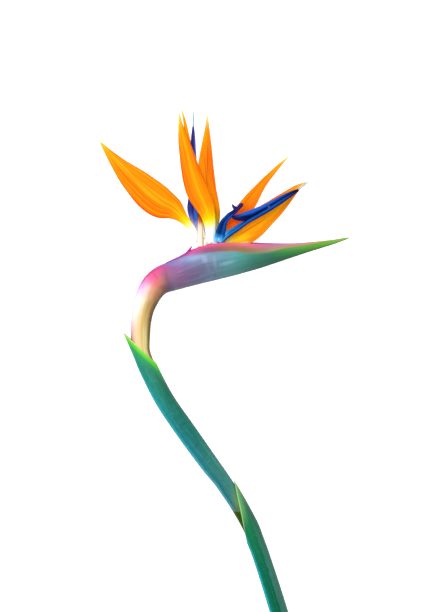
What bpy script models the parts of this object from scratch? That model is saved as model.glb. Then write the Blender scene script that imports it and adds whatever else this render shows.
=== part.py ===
"""Bird of paradise flower, cut from its plant and lying on its side on a table.

Metres, +Z up. Z = 0 is the table, +Y runs from the cut end of the stalk up to the petals and +X runs
along the beak of the spathe. The origin is the middle of the flower's footprint on the table.
Every piece is its own object: the stalk, its two sheaths, the spathe and the parts of two florets.
"""

import math

import bmesh
import bpy
from mathutils import Matrix, Vector

MM = 0.001
GAP = 0.3  # mm between pieces that touch
TUBE_BEVEL_RESOLUTION = 4  # gives a tube 12 sides
FINE_BEVEL_RESOLUTION = 2  # gives a tube 8 sides
FACE_UP = Vector((0, 0, 1))

# The stalk from its cut end, over the neck, to the shoulder that carries the spathe: x, y, height of the
# centre above the table, radius, in mm.
STALK_ROUTE = [
    (59.5, -238.0, 8.1, 6.8),
    (45.5, -188.7, 7.85, 6.6),
    (32.3, -147.1, 7.6, 6.2),
    (26.0, -130.0, 7.75, 5.4),
    (22.1, -119.9, 7.8, 5.3),
    (14.8, -106.3, 7.95, 5.4),
    (6.6, -92.7, 8.35, 5.7),
    (-2.4, -79.1, 8.7, 6.0),
    (-12.8, -65.5, 8.8, 6.7),
    (-32.3, -38.3, 8.75, 7.2),
    (-51.0, -11.0, 8.45, 7.0),
    (-65.0, 16.2, 8.25, 6.8),
    (-70.2, 29.8, 8.2, 6.8),
    (-71.4, 37.5, 8.2, 7.3),
    (-71.6, 45.0, 8.3, 8.0),
    (-71.0, 57.0, 8.6, 8.5),
    (-69.5, 66.0, 9.0, 8.9),
    (-65.8, 77.0, 10.0, 9.7),
    (-59.0, 88.2, 11.1, 10.7),
    (-51.5, 94.0, 11.6, 11.5),
]
STALK_POINTS = 44
SHOULDER_EDGE = (-48.5, 95.1, 11.6, 11.6)

# The receptacle, the stalk's thinner end inside the spathe, which carries the florets.
RECEPTACLE_ROUTE = [(-48.2, 95.2, 11.6, 6.4), (-39.0, 98.2, 11.6, 6.3), (-30.0, 100.9, 11.6, 6.1)]
RECEPTACLE_POINTS = 4

# The sheaths: x, y, height of the centre, outer radius, from the base to past the mouth, in mm.
SHEATH_WALL = 0.7
UPPER_SHEATH_ROUTE = [
    (25.2, -128.0, 7.75, 6.5),
    (22.1, -119.9, 7.8, 6.5),
    (14.8, -106.3, 7.95, 6.6),
    (6.6, -92.7, 8.35, 7.0),
    (-2.4, -79.1, 8.7, 7.4),
    (-12.8, -65.5, 8.8, 8.1),
    (-32.3, -38.3, 8.75, 8.6),
    (-51.0, -11.0, 8.45, 8.35),
    (-65.0, 16.2, 8.25, 8.15),
    (-69.7, 28.0, 8.2, 8.15),
    (-73.2, 38.0, 8.2, 8.1),
    (-77.0, 49.0, 8.2, 8.0),
]
LOWER_SHEATH_ROUTE = [
    (59.5, -238.0, 8.1, 8.0),
    (45.5, -188.7, 7.85, 7.75),
    (32.3, -147.1, 7.6, 7.5),
    (26.0, -130.0, 7.75, 7.65),
    (22.1, -119.9, 7.8, 7.7),
    (14.8, -106.3, 7.95, 7.85),
    (6.6, -92.7, 8.35, 8.25),
    (-2.4, -79.1, 8.7, 8.6),
    (-9.0, -70.5, 8.8, 8.7),
]
SHEATH_POINTS = 22
# Each mouth is one slanting cut, from the sheath's tip to the lowest point of its rim: x, y in mm.
UPPER_MOUTH = ((-85.9, 46.2), (-59.5, 22.1))
LOWER_MOUTH = ((16.7, -121.6), (8.2, -78.0))
MOUTH_CUTTER = 90.0

# The spathe, a boat-shaped bract: x and y of the section's middle, half its height from keel to rim, and
# half its width, in mm. It stands on edge, with its middle at SPATHE_HEIGHT above the table.
SPATHE_HEIGHT = 11.6
SPATHE_ROUTE = [
    (-48.0, 95.3, 12.4, 11.6),
    (-36.0, 99.6, 13.7, 11.6),
    (-22.6, 104.0, 14.9, 11.5),
    (-8.3, 108.2, 15.3, 11.2),
    (3.5, 110.6, 14.5, 10.6),
    (16.7, 112.3, 12.3, 9.4),
    (30.0, 114.1, 10.1, 8.0),
    (44.6, 116.2, 7.9, 6.5),
    (57.0, 118.2, 5.9, 5.0),
    (69.4, 120.3, 4.1, 3.7),
    (82.0, 122.7, 2.6, 2.4),
    (94.0, 125.2, 1.4, 1.3),
    (105.8, 127.7, 0.5, 0.5),
]
SPATHE_SIDES = 16
SPATHE_RINGS = 18
SPATHE_WALL = 1.9
HOLLOW_END = 0.62  # how far along the spathe its hollow reaches
KEEL_PINCH = 0.45  # how much narrower the keel is than the flanks
# The mouth is a lens-shaped slot along the top of the spathe: middle x, y and half sizes, in mm.
MOUTH_MIDDLE = (1.0, 125.5)
MOUTH_HALF = (37.0, 15.5, 8.0)
# The far rim ends towards the stalk in a small upright point: foot, tip and radius, in mm.
RIM_POINT_FOOT = (-36.5, 111.0, 7.2)
RIM_POINT_TIP = (-27.6, 121.5, 6.2)
RIM_POINT_RADIUS = 2.0

# The white bases of the two florets, from the receptacle out through the mouth: x, y, z, radius, in mm.
OLD_BASE_ROUTE = [
    (-30.4, 103.9, 11.6, 2.4),
    (-26.6, 105.1, 11.6, 2.7),
    (-21.8, 108.4, 11.6, 3.3),
    (-18.9, 115.0, 11.6, 4.1),
    (-17.9, 125.8, 11.6, 4.6),
]
NEW_BASE_ROUTE = [
    (-28.7, 98.2, 11.6, 2.4),
    (-21.0, 100.5, 11.6, 2.7),
    (-14.0, 103.8, 11.6, 3.2),
    (-9.4, 110.0, 11.6, 3.9),
    (-7.7, 117.6, 11.6, 4.4),
    (-7.2, 125.4, 11.6, 4.6),
]
BASE_POINTS = 8

SEPAL_THICKNESS = 0.8
SEPAL_STATIONS = 13
SEPAL_STRIPS = 6

# The six sepals. Each has the route of its midrib, x, y, z in mm, half its greatest width, how far its
# edges lie behind the midrib (negative: in front) and the share of its length where it is widest.
SEPALS = {
    "old_floret_left_sepal": {
        "midrib": [
            (-21.4, 127.3, 13.2),
            (-24.4, 133.0, 13.6),
            (-33.1, 142.8, 13.8),
            (-41.5, 151.0, 13.6),
            (-52.4, 159.0, 13.2),
            (-63.6, 167.5, 12.4),
            (-79.1, 182.1, 10.4),
            (-95.6, 198.1, 7.6),
            (-105.8, 209.5, 5.6),
        ],
        "half_width": 14.0,
        "cup": 5.0,
        "widest": 0.36,
    },
    "old_floret_front_sepal": {
        "midrib": [
            (-15.3, 126.2, 14.6),
            (-13.2, 133.5, 16.4),
            (-13.0, 140.0, 18.0),
            (-15.2, 149.6, 19.6),
            (-20.0, 161.9, 21.0),
            (-27.2, 185.3, 22.4),
            (-34.0, 210.8, 22.0),
            (-37.6, 232.5, 20.4),
        ],
        "half_width": 10.0,
        "cup": 3.0,
        "widest": 0.42,
    },
    "old_floret_rear_sepal": {
        "midrib": [
            (-18.4, 126.8, 8.2),
            (-19.2, 136.9, 6.6),
            (-21.3, 150.5, 4.9),
            (-24.8, 171.0, 3.6),
            (-28.5, 194.7, 3.2),
            (-31.4, 213.0, 3.6),
            (-35.9, 237.3, 5.2),
        ],
        "half_width": 5.4,
        "cup": -1.2,
        "widest": 0.42,
    },
    "new_floret_upright_sepal": {
        "midrib": [
            (-10.0, 126.4, 10.2),
            (-9.2, 132.6, 9.4),
            (-8.8, 140.0, 8.4),
            (-10.0, 150.0, 7.4),
            (-13.4, 166.0, 6.2),
            (-15.4, 186.0, 5.6),
            (-15.0, 207.4, 5.8),
            (-14.0, 232.9, 7.4),
        ],
        "half_width": 7.4,
        "cup": -2.2,
        "widest": 0.40,
    },
    "new_floret_upper_sepal": {
        "midrib": [
            (-6.0, 126.9, 8.0),
            (-1.8, 133.8, 6.2),
            (6.6, 143.0, 4.6),
            (16.2, 153.4, 3.4),
            (23.0, 162.2, 3.0),
            (39.1, 179.8, 3.4),
            (54.8, 197.5, 5.6),
        ],
        "half_width": 6.6,
        "cup": -1.4,
        "widest": 0.42,
    },
    "new_floret_lower_sepal": {
        "midrib": [
            (-2.5, 126.9, 11.2),
            (3.4, 127.6, 10.6),
            (9.5, 129.2, 9.8),
            (17.0, 132.8, 9.2),
            (25.6, 138.6, 9.0),
            (36.0, 147.6, 8.8),
            (50.0, 159.4, 8.8),
            (68.9, 175.1, 10.0),
        ],
        "half_width": 10.6,
        "cup": -1.6,
        "widest": 0.42,
    },
}

# The blue arrow-shaped tongues, each two petals grown together: the route of the midrib, x, y, z in mm,
# half the width of the shaft, half the width across the barbs, how far the barbs sweep back, and the cup.
TONGUE_THICKNESS = 1.2
TONGUE_STATIONS = 18
TONGUE_STRIPS = 4
TONGUES = {
    "old_floret_tongue": {
        "midrib": [
            (-19.0, 127.2, 10.9),
            (-21.6, 135.0, 10.5),
            (-24.2, 143.0, 10.2),
            (-26.0, 153.9, 10.2),
            (-26.4, 177.7, 10.6),
            (-26.0, 222.7, 11.6),
        ],
        "shaft": 1.4,
        "barb": 3.6,
        "sweep": 3.0,
        "barb_at": 0.30,
        "cup": 0.8,
    },
    "new_floret_tongue": {
        "midrib": [
            (-3.6, 126.6, 14.8),
            (0.2, 129.3, 16.4),
            (4.3, 132.6, 17.4),
            (11.9, 137.6, 18.4),
            (22.1, 145.0, 18.8),
            (43.4, 157.3, 18.4),
            (63.2, 169.2, 17.2),
        ],
        "shaft": 1.5,
        "barb": 4.2,
        "sweep": 8.0,
        "barb_at": 0.36,
        "cup": 0.8,
    },
}

# The short third petal of each floret, a narrow hood over the foot of the tongue.
HOOD_THICKNESS = 0.9
HOOD_STATIONS = 10
HOOD_STRIPS = 4
HOODS = {
    "old_floret_hood": {
        "midrib": [
            (-15.2, 126.2, 10.4),
            (-14.8, 132.0, 9.6),
            (-15.3, 139.0, 9.6),
            (-16.0, 147.0, 10.6),
            (-16.6, 151.0, 12.0),
        ],
        "half_width": 2.6,
        "cup": 1.2,
        "widest": 0.4,
    },
    "new_floret_hood": {
        "midrib": [
            (-8.9, 126.4, 14.6),
            (-5.2, 132.6, 16.4),
            (-2.1, 138.6, 17.8),
            (2.1, 144.1, 18.6),
            (6.8, 148.6, 19.4),
            (11.0, 153.2, 21.0),
        ],
        "half_width": 3.4,
        "cup": 1.4,
        "widest": 0.36,
    },
}

# The pale stigma that stands out of each tongue's tip: foot and tip, x, y, z in mm.
STIGMA_FOOT_RADIUS = 0.65
STIGMA_TIP_RADIUS = 0.2
STIGMAS = {
    "old_floret_stigma": ((-26.0, 223.1, 11.6), (-25.8, 234.8, 12.4)),
    "new_floret_stigma": ((63.6, 169.45, 17.2), (71.6, 176.4, 17.6)),
}

# Colour, roughness of each finish; none is metallic.
FINISHES = {
    "green_sheath": ((0.02, 0.26, 0.16, 1), 0.45),
    "stalk": ((0.62, 0.48, 0.22, 1), 0.45),
    "spathe": ((0.16, 0.36, 0.36, 1), 0.42),
    "floret_base": ((0.86, 0.86, 0.78, 1), 0.45),
    "orange_sepal": ((0.95, 0.30, 0.01, 1), 0.5),
    "blue_petal": ((0.01, 0.07, 0.40, 1), 0.45),
    "stigma": ((0.62, 0.76, 0.80, 1), 0.5),
}


def clear_scene():
    for old in list(bpy.data.objects):
        bpy.data.objects.remove(old)


def new_collection(name):
    collection = bpy.data.collections.new(name)
    bpy.context.scene.collection.children.link(collection)
    return collection


def finish(name):
    """The material of that finish, made once."""
    found = bpy.data.materials.get(name)
    if found:
        return found
    colour, roughness = FINISHES[name]
    made = bpy.data.materials.new(name)
    made.use_nodes = True
    shader = made.node_tree.nodes["Principled BSDF"]
    shader.inputs["Base Color"].default_value = colour
    shader.inputs["Roughness"].default_value = roughness
    shader.inputs["Metallic"].default_value = 0.0
    return made


def through(route, share):
    """The point at that share of a smooth curve through a route's rows, each a tuple of any length."""
    spans = len(route) - 1
    at = min(max(share, 0.0), 1.0) * spans
    index = min(int(at), spans - 1)
    t = at - index
    before, start, end, after = (
        route[min(max(index + step, 0), spans)] for step in (-1, 0, 1, 2)
    )
    return [
        0.5 * (2 * b + (c - a) * t + (2 * a - 5 * b + 4 * c - d) * t**2 + (3 * b - a - 3 * c + d) * t**3)
        for a, b, c, d in zip(before, start, end, after)
    ]


def evenly(route, count):
    """count rows evenly spaced along the smooth curve through a route."""
    fine = [through(route, k / 400) for k in range(401)]
    travelled = [0.0]
    for last, here in zip(fine, fine[1:]):
        travelled.append(travelled[-1] + math.dist(last[:2], here[:2]))
    rows, at = [], 0
    for k in range(count):
        wanted = travelled[-1] * k / (count - 1)
        while at < 399 and travelled[at + 1] < wanted:
            at += 1
        rows.append(fine[at] if k < count - 1 else fine[-1])
    return rows


def place(name, mesh, collection, finish_name):
    made = bpy.data.objects.new(name, mesh)
    collection.objects.link(made)
    made.data.materials.clear()
    made.data.materials.append(finish(finish_name))
    return made


def tube(name, rows, collection, finish_name, closed_ends=True, resolution=TUBE_BEVEL_RESOLUTION):
    """A round tube through rows of x, y, z, radius in mm, as a mesh whose caps are welded on."""
    curve = bpy.data.curves.new(name, "CURVE")
    curve.dimensions = "3D"
    curve.twist_mode = "Z_UP"
    curve.bevel_depth = MM
    curve.bevel_resolution = resolution
    curve.use_fill_caps = closed_ends
    spline = curve.splines.new("POLY")
    spline.points.add(len(rows) - 1)
    for point, (x, y, z, radius) in zip(spline.points, rows):
        point.co = (x * MM, y * MM, z * MM, 1)
        point.radius = radius
    drawn = bpy.data.objects.new(name + "_line", curve)
    bpy.context.scene.collection.objects.link(drawn)
    graph = bpy.context.evaluated_depsgraph_get()
    mesh = bpy.data.meshes.new_from_object(drawn.evaluated_get(graph))
    bpy.data.objects.remove(drawn)
    work = bmesh.new()
    work.from_mesh(mesh)
    bmesh.ops.remove_doubles(work, verts=work.verts, dist=1e-6)
    bmesh.ops.recalc_face_normals(work, faces=work.faces)
    work.to_mesh(mesh)
    work.free()
    mesh.shade_smooth()
    mesh.set_sharp_from_angle(angle=math.radians(50))
    return place(name, mesh, collection, finish_name)


def cut(piece, cutter, operation="DIFFERENCE"):
    change = piece.modifiers.new(cutter.name, "BOOLEAN")
    change.operation = operation
    change.object = cutter
    change.solver = "EXACT"


def helper(made):
    """Marks an object as a cutter, which is no piece of the flower."""
    made.hide_render = True
    made.display_type = "WIRE"
    return made


def mouth_cutter(name, start, end, helpers):
    """A block whose flat side lies along the slanting cut from start to end, on its left-hand side."""
    first, last = Vector((*start, 0)), Vector((*end, 0))
    along = (last - first).normalized()
    outwards = FACE_UP.cross(along)
    mesh = bpy.data.meshes.new(name)
    work = bmesh.new()
    bmesh.ops.create_cube(work, size=MOUTH_CUTTER * MM)
    work.to_mesh(mesh)
    work.free()
    block = bpy.data.objects.new(name, mesh)
    helpers.objects.link(block)
    block.location = ((first + last) / 2 + outwards * MOUTH_CUTTER / 2) * MM
    block.rotation_euler = (0, 0, math.atan2(along.y, along.x))
    return helper(block)


def sheath(name, route, mouth, collection, helpers):
    """A thin leaf sheath wrapped round the stalk: an open tube with a wall, its mouth cut at a slant."""
    made = tube(name, evenly(route, SHEATH_POINTS), collection, "green_sheath", closed_ends=False)
    wall = made.modifiers.new("wall", "SOLIDIFY")
    wall.thickness = SHEATH_WALL * MM
    wall.offset = -1
    cut(made, mouth_cutter(name + "_mouth", *mouth, helpers))
    return made


def stalk(collection):
    """The stalk with its curved neck, and the receptacle behind the shoulder that carries the spathe."""
    rows = evenly(STALK_ROUTE, STALK_POINTS) + [SHOULDER_EDGE]
    rows += evenly(RECEPTACLE_ROUTE, RECEPTACLE_POINTS)
    return tube("flower_stalk", rows, collection, "stalk")


def boat(name, rings, collection, finish_name, shrink=0.0):
    """A closed boat-shaped body through rings of x, y, half height and half width in mm, shrunk all round.

    A unit cylinder is divided along its length, and each of its rings is moved to its place and shape:
    narrow at the keel, widest above the middle and rounded over at the rim."""
    work = bmesh.new()
    bmesh.ops.create_cone(
        work, cap_ends=True, segments=SPATHE_SIDES, radius1=1, radius2=1, depth=len(rings) - 1
    )
    lengthwise = [e for e in work.edges if abs(e.verts[0].co.z - e.verts[1].co.z) > 0.5]
    bmesh.ops.subdivide_edges(work, edges=lengthwise, cuts=len(rings) - 2)
    half_length = (len(rings) - 1) / 2
    for vertex in work.verts:
        index = min(max(round(vertex.co.z + half_length), 0), len(rings) - 1)
        x, y, half_height, half_width = rings[index]
        behind, ahead = rings[max(index - 1, 0)], rings[min(index + 1, len(rings) - 1)]
        along = Vector((ahead[0] - behind[0], ahead[1] - behind[1], 0)).normalized()
        upwards = FACE_UP.cross(along)
        rise, spread = vertex.co.y, -vertex.co.x
        pinch = 1 - KEEL_PINCH * max(-rise, 0) ** 1.5
        out = Vector((x, y, SPATHE_HEIGHT))
        out += upwards * rise * max(half_height - shrink, 0.2)
        out += FACE_UP * spread * pinch * max(half_width - shrink, 0.2)
        vertex.co = out * MM
    work.normal_update()
    mesh = bpy.data.meshes.new(name)
    work.to_mesh(mesh)
    work.free()
    mesh.shade_smooth()
    mesh.set_sharp_from_angle(angle=math.radians(50))
    return place(name, mesh, collection, finish_name)


def lens(name, middle, half_sizes, helpers):
    """A ball stretched along the spathe, which opens its mouth."""
    mesh = bpy.data.meshes.new(name)
    work = bmesh.new()
    bmesh.ops.create_uvsphere(work, u_segments=20, v_segments=10, radius=1)
    bmesh.ops.transform(work, matrix=Matrix.Diagonal((*(h * MM for h in half_sizes), 1)), verts=work.verts)
    work.to_mesh(mesh)
    work.free()
    made = bpy.data.objects.new(name, mesh)
    helpers.objects.link(made)
    made.location = (middle[0] * MM, middle[1] * MM, SPATHE_HEIGHT * MM)
    return helper(made)


def rim_point(helpers):
    """The small upright point in which the far rim of the spathe ends, towards the stalk."""
    foot, tip = Vector(RIM_POINT_FOOT) * MM, Vector(RIM_POINT_TIP) * MM
    work = bmesh.new()
    bmesh.ops.create_cone(
        work,
        cap_ends=True,
        segments=8,
        radius1=RIM_POINT_RADIUS * MM,
        radius2=0.2 * MM,
        depth=(tip - foot).length,
    )
    turn = (tip - foot).to_track_quat("Z", "Y").to_matrix().to_4x4()
    bmesh.ops.transform(work, matrix=Matrix.Translation((foot + tip) / 2) @ turn, verts=work.verts)
    mesh = bpy.data.meshes.new("rim_point")
    work.to_mesh(mesh)
    work.free()
    made = bpy.data.objects.new("rim_point", mesh)
    helpers.objects.link(made)
    return helper(made)


def spathe(collection, helpers):
    """The beak-like bract: a hollow boat with a closed, solid tip, open along its top and at its foot."""
    rings = evenly(SPATHE_ROUTE, SPATHE_RINGS)
    made = boat("spathe", rings, collection, "spathe")
    inner = [ring for k, ring in enumerate(rings) if k <= HOLLOW_END * (SPATHE_RINGS - 1)]
    x, y, half_height, half_width = inner[0]
    inner[0] = (x - 2, y - 0.8, half_height, half_width)
    hollow = helper(boat("spathe_hollow", inner, helpers, "spathe", shrink=SPATHE_WALL))
    cut(made, rim_point(helpers), "UNION")
    cut(made, hollow)
    cut(made, lens("spathe_mouth", MOUTH_MIDDLE, MOUTH_HALF, helpers))
    return made


def leaf_width(t, widest, foot=0.22, tip=0.045):
    """Half width at share t of a petal's length: narrow at the foot, 1 where widest, pointed at the tip."""
    if t < widest:
        rise = t / widest
        return foot + (1 - foot) * (3 * rise**2 - 2 * rise**3)
    fall = (t - widest) / (1 - widest)
    return tip + (1 - tip) * (1 - fall**1.7) ** 1.15


def arrow_width(t, shaft, barb, barb_at):
    """Half width of a tongue: a narrow shaft, a step out to the barbs, then a long taper to the tip."""
    if t < barb_at:
        return shaft * (0.9 + 0.1 * t / barb_at)
    fall = (t - barb_at) / (1 - barb_at)
    return 0.5 + (barb - 0.5) * (1 - fall) ** 0.8


def blade(name, midrib, width, cup, thickness, stations, strips, collection, finish_name, sweep=None):
    """A petal: a flat grid whose rows are laid across the midrib, width(t) mm to each side, and thickened.

    cup is how far the edges lie behind the midrib where the petal is widest, and sweep(t) is how far
    they are drawn back towards the foot."""
    route = evenly(midrib, stations + 1)
    widest = max(width(k / stations) for k in range(stations + 1))
    work = bmesh.new()
    bmesh.ops.create_grid(work, x_segments=stations, y_segments=strips, size=0.5)
    for vertex in work.verts:
        index = round((vertex.co.x + 0.5) * stations)
        across = vertex.co.y * 2
        share = index / stations
        behind, ahead = route[max(index - 1, 0)], route[min(index + 1, stations)]
        along = (Vector(ahead) - Vector(behind)).normalized()
        sideways = along.cross(FACE_UP).normalized()
        forwards = sideways.cross(along)
        half = width(share)
        out = Vector(route[index]) - sideways * across * half
        out -= forwards * cup * across**2 * half / widest
        if sweep:
            out -= along * sweep(share) * abs(across)
        vertex.co = out * MM
    mesh = bpy.data.meshes.new(name)
    work.to_mesh(mesh)
    work.free()
    mesh.shade_smooth()
    made = place(name, mesh, collection, finish_name)
    wall = made.modifiers.new("thickness", "SOLIDIFY")
    wall.thickness = thickness * MM
    wall.offset = 0
    return made


def sepals(collection):
    for name, shape in SEPALS.items():
        blade(
            name,
            shape["midrib"],
            lambda t, s=shape: s["half_width"] * leaf_width(t, s["widest"]),
            shape["cup"],
            SEPAL_THICKNESS,
            SEPAL_STATIONS,
            SEPAL_STRIPS,
            collection,
            "orange_sepal",
        )


def tongues(collection):
    for name, shape in TONGUES.items():
        barb_at = shape["barb_at"]
        blade(
            name,
            shape["midrib"],
            lambda t, s=shape: arrow_width(t, s["shaft"], s["barb"], s["barb_at"]),
            shape["cup"],
            TONGUE_THICKNESS,
            TONGUE_STATIONS,
            TONGUE_STRIPS,
            collection,
            "blue_petal",
            sweep=lambda t, s=shape, b=barb_at: s["sweep"] * (1 - (t - b) / (1 - b)) ** 3 if t >= b else 0,
        )


def hoods(collection):
    for name, shape in HOODS.items():
        blade(
            name,
            shape["midrib"],
            lambda t, s=shape: s["half_width"] * leaf_width(t, s["widest"], foot=0.4, tip=0.25),
            shape["cup"],
            HOOD_THICKNESS,
            HOOD_STATIONS,
            HOOD_STRIPS,
            collection,
            "blue_petal",
        )


def stigmas(collection):
    for name, (foot, tip) in STIGMAS.items():
        ends = ((*foot, STIGMA_FOOT_RADIUS), (*tip, STIGMA_TIP_RADIUS))
        rows = [[start + (end - start) * k / 3 for start, end in zip(*ends)] for k in range(4)]
        tube(name, rows, collection, "stigma", resolution=FINE_BEVEL_RESOLUTION)


def main():
    clear_scene()
    flower = new_collection("bird_of_paradise_flower")
    helpers = new_collection("cutters")
    stalk(flower)
    sheath("upper_sheath", UPPER_SHEATH_ROUTE, UPPER_MOUTH, flower, helpers)
    sheath("lower_sheath", LOWER_SHEATH_ROUTE, LOWER_MOUTH, flower, helpers)
    spathe(flower, helpers)
    for name, route in (("old_floret_base", OLD_BASE_ROUTE), ("new_floret_base", NEW_BASE_ROUTE)):
        tube(name, evenly(route, BASE_POINTS), flower, "floret_base")
    sepals(flower)
    tongues(flower)
    hoods(flower)
    stigmas(flower)


main()
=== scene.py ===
"""A cut bird of paradise flower lying on a pale table, seen from straight above."""

import math

import bmesh
import bpy
from mathutils import Matrix, Vector


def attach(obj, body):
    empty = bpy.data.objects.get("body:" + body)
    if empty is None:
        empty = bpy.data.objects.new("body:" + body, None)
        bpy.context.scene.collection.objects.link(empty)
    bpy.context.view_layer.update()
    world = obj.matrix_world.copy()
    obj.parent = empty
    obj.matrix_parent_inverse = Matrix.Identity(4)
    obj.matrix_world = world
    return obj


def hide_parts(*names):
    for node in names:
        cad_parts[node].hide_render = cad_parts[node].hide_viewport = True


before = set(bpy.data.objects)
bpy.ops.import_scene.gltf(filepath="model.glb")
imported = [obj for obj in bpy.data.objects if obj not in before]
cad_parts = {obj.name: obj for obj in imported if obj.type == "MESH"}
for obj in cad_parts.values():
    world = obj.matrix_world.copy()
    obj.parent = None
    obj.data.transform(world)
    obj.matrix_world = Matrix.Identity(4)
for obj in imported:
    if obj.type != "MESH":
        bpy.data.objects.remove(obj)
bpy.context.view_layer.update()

MM = 0.001
TINY = 1e-6  # less than this is no width and no turn
UP = Vector((0, 0, 1))
WHITE = (1, 1, 1, 1)
ROUTE_STEPS = 600  # straight steps that a smooth route is measured in

PETAL_WALL = 0.55  # thicknesses, in mm
TONGUE_WALL = 0.9
OLD_HOOD_WALL = 0.8
LEAF_WALL = 0.7
SPATHE_WALL = 1.2


# ---- routes

def through(route, share):
    """The row at that share of a smooth curve through a route's rows."""
    spans = len(route) - 1
    at = min(max(share, 0.0), 1.0) * spans
    index = min(int(at), spans - 1)
    t = at - index
    before, start, end, after = (route[min(max(index + step, 0), spans)] for step in (-1, 0, 1, 2))
    row = []
    for a, b, c, d in zip(before, start, end, after):
        curved = (2 * a - 5 * b + 4 * c - d) * t**2
        row.append((2 * b + (c - a) * t + curved + (3 * b - a - 3 * c + d) * t**3) / 2)
    return row


def evenly(plan, count):
    """count rows evenly spaced along the smooth curve through the rows of a plan."""
    route = [[float(number) for number in line.split()] for line in plan.strip().splitlines()]
    fine = [through(route, k / ROUTE_STEPS) for k in range(ROUTE_STEPS + 1)]
    travelled = [0.0]
    for last, here in zip(fine, fine[1:]):
        travelled.append(travelled[-1] + math.dist(last[:3], here[:3]))
    rows, at = [], 0
    for k in range(count):
        wanted = travelled[-1] * k / (count - 1)
        while at < ROUTE_STEPS - 1 and travelled[at + 1] < wanted:
            at += 1
        rows.append(fine[at])
    rows[-1] = fine[-1]
    return rows


def heading(rows, k):
    """Unit vector along the route at row k."""
    behind, ahead = rows[max(k - 1, 0)], rows[min(k + 1, len(rows) - 1)]
    return (Vector(ahead[:3]) - Vector(behind[:3])).normalized()


# ---- edit-mode tools

def deselect_everything():
    if bpy.context.mode != "OBJECT":
        bpy.ops.object.mode_set(mode="OBJECT")
    bpy.ops.object.select_all(action="DESELECT")


def take(piece, *others):
    """Selects just these pieces and makes the first one active."""
    deselect_everything()
    for chosen in (piece, *others):
        chosen.select_set(True)
    bpy.context.view_layer.objects.active = piece


def edit(piece):
    take(piece)
    bpy.ops.object.mode_set(mode="EDIT")
    bpy.ops.mesh.select_mode(type="VERT")


def pick(piece, chosen):
    """Selects just these vertices of the piece in edit mode."""
    bpy.ops.mesh.select_all(action="DESELECT")
    mesh = bmesh.from_edit_mesh(piece.data)
    mesh.verts.ensure_lookup_table()
    for index in chosen:
        mesh.verts[index].select = True
    mesh.select_flush_mode()


def places(piece):
    """Where each vertex of the piece lies, in edit mode."""
    mesh = bmesh.from_edit_mesh(piece.data)
    return {vertex.index: vertex.co.copy() for vertex in mesh.verts}


def levels(piece, axis):
    """The piece's vertices in rows along an axis, lowest row first, each row with its height."""
    rows = {}
    for index, place in places(piece).items():
        rows.setdefault(round(place[axis], 4), []).append(index)
    return [(height, rows[height]) for height in sorted(rows)]


def turn(matrix, centre):
    """Turns what is selected by a rotation, one axis after the other."""
    for axis, angle in zip("XYZ", matrix.to_euler("XYZ")):
        if abs(angle) > TINY:
            bpy.ops.transform.rotate(
                value=-angle, orient_axis=axis, orient_type="GLOBAL", center_override=centre
            )


def add_modifier(piece, kind, **settings):
    """Adds a modifier, sets it and applies it."""
    change = piece.modifiers.new(kind.lower(), kind)
    for key, value in settings.items():
        setattr(change, key, value)
    take(piece)
    bpy.ops.object.modifier_apply(modifier=change.name)


def soften(piece, degrees=60):
    """Rounds a piece off, and shades it smooth where its faces meet at less than the angle."""
    add_modifier(piece, "SUBSURF", levels=1, render_levels=1)
    take(piece)
    bpy.ops.object.shade_smooth_by_angle(angle=math.radians(degrees))


# ---- petals

SWEEP_CURVE = 1.1  # 1 would sweep a petal's edge back in a straight line from its midrib


def blade(name, rows, columns, profile, wall):
    """A petal from a flat grid. Its columns take the profile of the section, and each row is given
    its width, turned across the midrib and moved to its place. A row is x, y, z, left width, right
    width, how far its left edge is swept back, and depth of the section, in mm."""
    deselect_everything()
    bpy.ops.mesh.primitive_grid_add(x_subdivisions=columns, y_subdivisions=len(rows) - 1, size=2)
    piece = bpy.context.object
    piece.name = name
    edit(piece)
    for place, column in levels(piece, 0):
        pick(piece, column)
        bpy.ops.transform.translate(value=(0, 0, profile(place)))
    across = {index: place.x for index, place in places(piece).items()}
    for k, (height, row) in enumerate(levels(piece, 1)):
        x, y, z, left, right, swept, depth = rows[k]
        centre = Vector((0, height, 0))
        for side, width in ((-1, left), (1, right)):
            pick(piece, [i for i in row if across[i] * side > TINY])
            bpy.ops.transform.resize(value=(width * MM, 1, 1), center_override=centre)
        for i in row:
            back = swept * max(-across[i], 0) ** SWEEP_CURVE * MM
            if abs(back) > TINY / 10:
                pick(piece, [i])
                bpy.ops.transform.translate(value=(0, -back, 0))
        pick(piece, row)
        bpy.ops.transform.resize(value=(1, 1, depth * MM), center_override=centre)
        along = heading(rows, k)
        sideways = along.cross(UP).normalized()
        turn(Matrix((sideways, along, sideways.cross(along))).transposed(), centre)
        bpy.ops.transform.translate(value=Vector((x, y, z)) * MM - centre)
    bpy.ops.mesh.select_all(action="SELECT")
    bpy.ops.mesh.normals_make_consistent(inside=False)
    bpy.ops.object.mode_set(mode="OBJECT")
    add_modifier(piece, "SOLIDIFY", thickness=wall * MM, offset=0)
    soften(piece)
    return piece


# ---- tubes

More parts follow.
